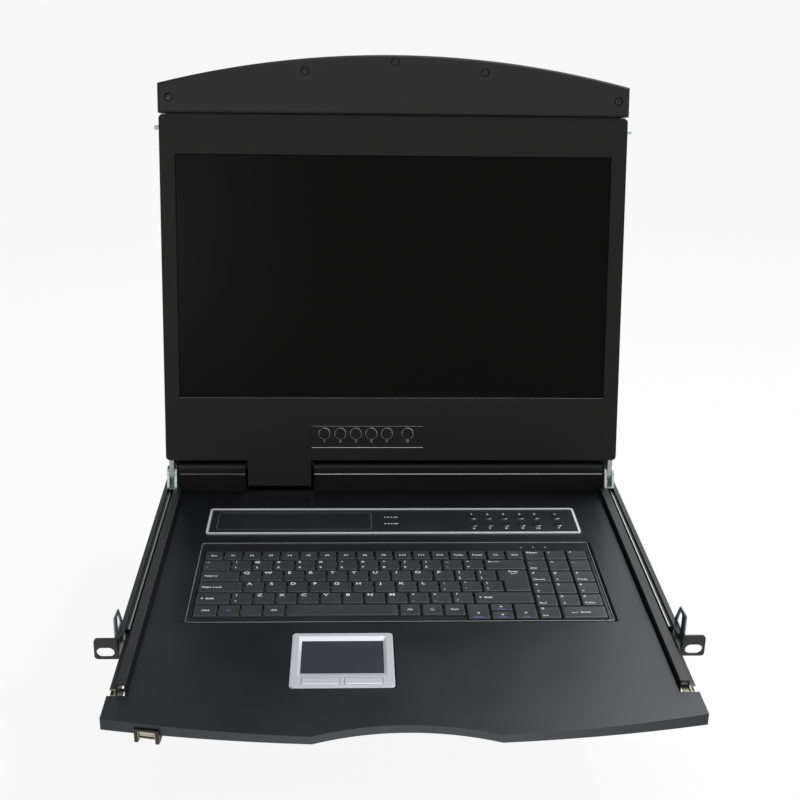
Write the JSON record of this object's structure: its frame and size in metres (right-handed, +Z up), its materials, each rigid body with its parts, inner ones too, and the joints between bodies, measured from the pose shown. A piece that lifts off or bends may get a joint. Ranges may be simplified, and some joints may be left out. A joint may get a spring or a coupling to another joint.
{
  "type": "rackmount lcd console drawer",
  "caption": "One-unit rack drawer on ball slides with a fold-up LCD, keyboard, touchpad, port buttons and slotted rack ears.",
  "frame": {"origin": "halfway between the centres of the two front rack slots, on the front faces of the ears", "axes": "+X to the user's right, +Y into the rack, +Z up"},
  "size_m": [0.4826, 0.762, 0.4273],
  "materials": {
    "black_coat": "fine textured powder coat",
    "bracket_coat": "satin powder coat",
    "deck_coat": "semi-gloss charcoal",
    "zinc": "bright zinc plate",
    "silver_trim": "satin silver",
    "key_plastic": "matte",
    "frame_plastic": "matte",
    "pad_surface": "fine matte",
    "overlay_film": "satin film",
    "button_black": "gloss",
    "connector_metal": "nickel plate",
    "connector_plastic": "matte",
    "steel_plate": "plain sheet",
    "board": "circuit board",
    "supply_case": "plain sheet",
    "display_glass": "glossy screen",
    "handle_black": "fine texture",
    "screw_steel": "black zinc"
  },
  "bodies": {
    "rack_frame": {"left_outer_bracket": "bracket_coat", "right_outer_bracket": "bracket_coat", "left_lock_plate": "bracket_coat", "right_lock_plate": "bracket_coat", "left_slide_outer": "zinc", "right_slide_outer": "zinc", "left_rear_bracket": "bracket_coat", "right_rear_bracket": "bracket_coat"},
    "left_cage": {"left_ball_cage": "zinc"},
    "right_cage": {"right_ball_cage": "zinc"},
    "drawer": {"base_tray": "black_coat", "left_side_channel": "bracket_coat", "right_side_channel": "bracket_coat", "keyboard_deck": "deck_coat", "left_slide_inner": "zinc", "right_slide_inner": "zinc", "keyboard_frame": "frame_plastic", "keyboard_base": "steel_plate", "touchpad_bezel": "silver_trim", "touchpad": "pad_surface", "control_frame": "silver_trim", "control_overlay": "overlay_film", "usb_port": "connector_metal", "usb_bracket": "connector_plastic", "rear_module": "black_coat", "rear_cover": "black_coat", "hinge_cover_bar": "handle_black", "switch_board": "board", "power_supply": "supply_case", "left_hinge_bracket": "zinc", "right_hinge_bracket": "zinc"},
    "lcd": {"lcd_bezel": "black_coat", "lcd_back_cover": "black_coat", "display_panel": "display_glass", "lcd_handle": "handle_black", "lcd_screws": "screw_steel", "osd_plate": "button_black", "left_hinge_arm": "zinc", "right_hinge_arm": "zinc"},
    "left_pin": {"left_lock_pin": "zinc"},
    "right_pin": {"right_lock_pin": "zinc"},
    "left_click": {"left_touch_button": "silver_trim"},
    "right_click": {"right_touch_button": "silver_trim"},
    "port_keys": {"port_buttons": "key_plastic"},
    "mains_rocker": {"power_switch": "connector_plastic"},
    "function_key_group": {"function_keys": "key_plastic"},
    "number_key_group": {"number_keys": "key_plastic"},
    "upper_key_group": {"upper_keys": "key_plastic"},
    "home_key_group": {"home_keys": "key_plastic"},
    "lower_key_group": {"lower_keys": "key_plastic"},
    "bottom_key_group": {"bottom_keys": "key_plastic"},
    "space_key": {"space_bar": "key_plastic"},
    "arrow_key_group": {"arrow_keys": "key_plastic"},
    "numpad_key_group": {"numpad_keys": "key_plastic"},
    "lcd_button_1": {"osd_button_1": "button_black"},
    "lcd_button_2": {"osd_button_2": "button_black"},
    "lcd_button_3": {"osd_button_3": "button_black"},
    "lcd_button_4": {"osd_button_4": "button_black"},
    "lcd_button_5": {"osd_button_5": "button_black"},
    "lcd_button_6": {"osd_button_6": "button_black"}
  },
  "joints": [
    {"name": "drawer_slide", "type": "slide", "parent": "rack_frame", "child": "drawer", "axis": [0, -1, 0], "range_m": [-0.0643, 0.335]},
    {"name": "left_cage_slide", "type": "slide", "parent": "rack_frame", "child": "left_cage", "axis": [0, -1, 0], "range_m": [-0.03215, 0.1675]},
    {"name": "right_cage_slide", "type": "slide", "parent": "rack_frame", "child": "right_cage", "axis": [0, -1, 0], "range_m": [-0.03215, 0.1675]},
    {"name": "lcd_tilt", "type": "hinge", "parent": "drawer", "child": "lcd", "pos_m": [0, 0.2872, 0.0226], "axis": [1, 0, 0], "range_deg": [-16, 102]},
    {"name": "left_pin_slide", "type": "slide", "parent": "lcd", "child": "left_pin", "axis": [1, 0, 0], "range_m": [0, 0.003], "stiffness_N_per_m": 600, "springref_m": -0.003},
    {"name": "right_pin_slide", "type": "slide", "parent": "lcd", "child": "right_pin", "axis": [-1, 0, 0], "range_m": [0, 0.003], "stiffness_N_per_m": 600, "springref_m": -0.003},
    {"name": "left_click_press", "type": "slide", "parent": "drawer", "child": "left_click", "axis": [0, 0, -1], "range_m": [0, 0.0006], "stiffness_N_per_m": 1000, "springref_m": -0.0006},
    {"name": "right_click_press", "type": "slide", "parent": "drawer", "child": "right_click", "axis": [0, 0, -1], "range_m": [0, 0.0006], "stiffness_N_per_m": 1000, "springref_m": -0.0006},
    {"name": "port_keys_press", "type": "slide", "parent": "drawer", "child": "port_keys", "axis": [0, 0, -1], "range_m": [0, 0.0005], "stiffness_N_per_m": 1000, "springref_m": -0.0006},
    {"name": "mains_rock", "type": "hinge", "parent": "drawer", "child": "mains_rocker", "pos_m": [0.152, 0.483, 0.019], "axis": [-1, 0, 0], "range_deg": [0, 14]},
    {"name": "function_key_group_press", "type": "slide", "parent": "drawer", "child": "function_key_group", "axis": [0, 0, -1], "range_m": [0, 0.002], "stiffness_N_per_m": 500, "springref_m": -0.002},
    {"name": "number_key_group_press", "type": "slide", "parent": "drawer", "child": "number_key_group", "axis": [0, 0, -1], "range_m": [0, 0.002], "stiffness_N_per_m": 500, "springref_m": -0.002},
    {"name": "upper_key_group_press", "type": "slide", "parent": "drawer", "child": "upper_key_group", "axis": [0, 0, -1], "range_m": [0, 0.002], "stiffness_N_per_m": 500, "springref_m": -0.002},
    {"name": "home_key_group_press", "type": "slide", "parent": "drawer", "child": "home_key_group", "axis": [0, 0, -1], "range_m": [0, 0.002], "stiffness_N_per_m": 500, "springref_m": -0.002},
    {"name": "lower_key_group_press", "type": "slide", "parent": "drawer", "child": "lower_key_group", "axis": [0, 0, -1], "range_m": [0, 0.002], "stiffness_N_per_m": 500, "springref_m": -0.002},
    {"name": "bottom_key_group_press", "type": "slide", "parent": "drawer", "child": "bottom_key_group", "axis": [0, 0, -1], "range_m": [0, 0.002], "stiffness_N_per_m": 500, "springref_m": -0.002},
    {"name": "space_key_press", "type": "slide", "parent": "drawer", "child": "space_key", "axis": [0, 0, -1], "range_m": [0, 0.002], "stiffness_N_per_m": 500, "springref_m": -0.002},
    {"name": "arrow_key_group_press", "type": "slide", "parent": "drawer", "child": "arrow_key_group", "axis": [0, 0, -1], "range_m": [0, 0.002], "stiffness_N_per_m": 500, "springref_m": -0.002},
    {"name": "numpad_key_group_press", "type": "slide", "parent": "drawer", "child": "numpad_key_group", "axis": [0, 0, -1], "range_m": [0, 0.002], "stiffness_N_per_m": 500, "springref_m": -0.002},
    {"name": "lcd_button_1_press", "type": "slide", "parent": "lcd", "child": "lcd_button_1", "axis": [0, 0.9781, -0.2079], "range_m": [0, 0.0008], "stiffness_N_per_m": 900, "springref_m": -0.0006},
    {"name": "lcd_button_2_press", "type": "slide", "parent": "lcd", "child": "lcd_button_2", "axis": [0, 0.9781, -0.2079], "range_m": [0, 0.0008], "stiffness_N_per_m": 900, "springref_m": -0.0006},
    {"name": "lcd_button_3_press", "type": "slide", "parent": "lcd", "child": "lcd_button_3", "axis": [0, 0.9781, -0.2079], "range_m": [0, 0.0008], "stiffness_N_per_m": 900, "springref_m": -0.0006},
    {"name": "lcd_button_4_press", "type": "slide", "parent": "lcd", "child": "lcd_button_4", "axis": [0, 0.9781, -0.2079], "range_m": [0, 0.0008], "stiffness_N_per_m": 900, "springref_m": -0.0006},
    {"name": "lcd_button_5_press", "type": "slide", "parent": "lcd", "child": "lcd_button_5", "axis": [0, 0.9781, -0.2079], "range_m": [0, 0.0008], "stiffness_N_per_m": 900, "springref_m": -0.0006},
    {"name": "lcd_button_6_press", "type": "slide", "parent": "lcd", "child": "lcd_button_6", "axis": [0, 0.9781, -0.2079], "range_m": [0, 0.0008], "stiffness_N_per_m": 900, "springref_m": -0.0006}
  ],
  "couplings": [
    {"joint": "left_cage_slide", "follows": "drawer_slide", "ratio": 0.5},
    {"joint": "right_cage_slide", "follows": "drawer_slide", "ratio": 0.5}
  ]
}
